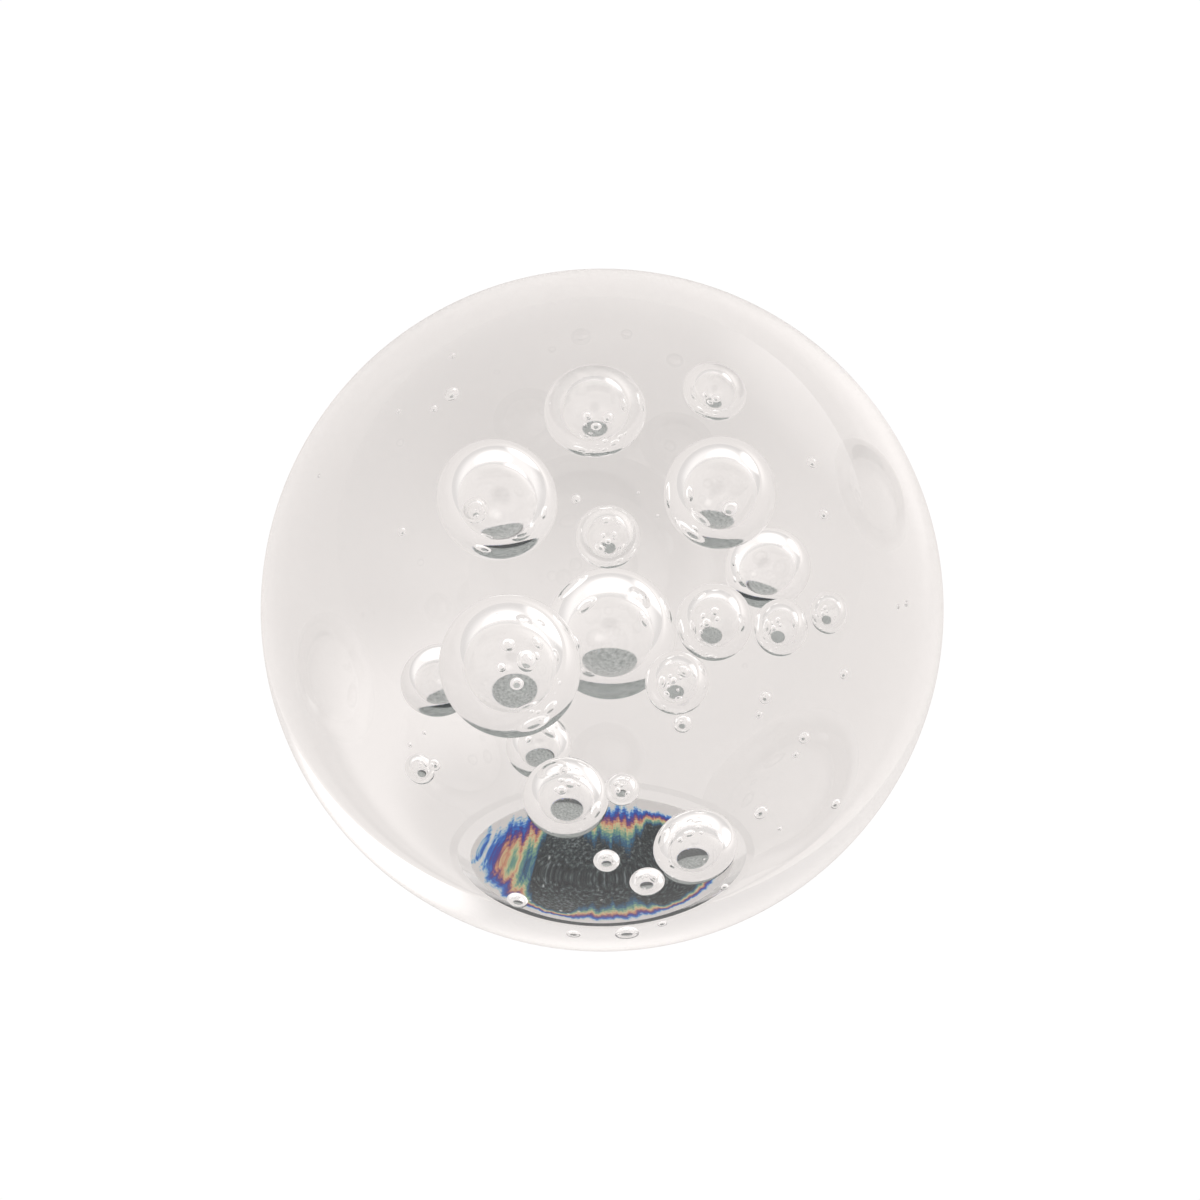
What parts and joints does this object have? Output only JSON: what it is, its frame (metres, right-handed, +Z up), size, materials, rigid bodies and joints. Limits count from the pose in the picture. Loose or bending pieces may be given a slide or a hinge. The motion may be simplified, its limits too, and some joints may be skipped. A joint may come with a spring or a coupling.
{
  "type": "glass ball paperweight",
  "caption": "Clear solid glass ball paperweight with air bubbles scattered inside, standing on a small ground flat.",
  "frame": {"origin": "centre of the ground base flat, on the surface the paperweight stands on", "axes": "+Z is up, through the centre of the ball; +X and +Y are horizontal, and -Y is the side the large left bubble and the low front bubble face"},
  "size_m": [0.08, 0.08, 0.076],
  "materials": {
    "casing_glass": "clear soda-lime glass, fire-polished outside, fine ground flat below",
    "second_glass": "clear soda-lime glass",
    "first_glass": "clear soda-lime glass",
    "trapped_gas": "gas trapped in the glass, seen as a bright round bubble"
  },
  "bodies": {
    "root": {"casing_gather": "casing_glass", "second_gather": "second_glass", "first_gather": "first_glass", "bubble_heart_large": "trapped_gas", "bubble_heart_low_front": "trapped_gas", "bubble_heart_low_rear": "trapped_gas", "bubble_heart_small": "trapped_gas", "bubble_front_right": "trapped_gas", "bubble_rear_right": "trapped_gas", "bubble_rear_low": "trapped_gas", "bubble_crown": "trapped_gas", "bubble_crown_front": "trapped_gas", "bubble_crown_right": "trapped_gas", "bubble_crown_left_small": "trapped_gas", "bubble_front_centre": "trapped_gas", "bubble_right": "trapped_gas", "bubble_right_small": "trapped_gas", "bubble_front_left_small": "trapped_gas", "bubble_front_small": "trapped_gas", "bubble_front_low": "trapped_gas", "bubble_front_low_small": "trapped_gas", "bubble_front_low_right_small": "trapped_gas", "bubble_rear_left": "trapped_gas", "bubble_rear_right_low": "trapped_gas", "bubble_rear_low_left": "trapped_gas"}
  },
  "joints": []
}
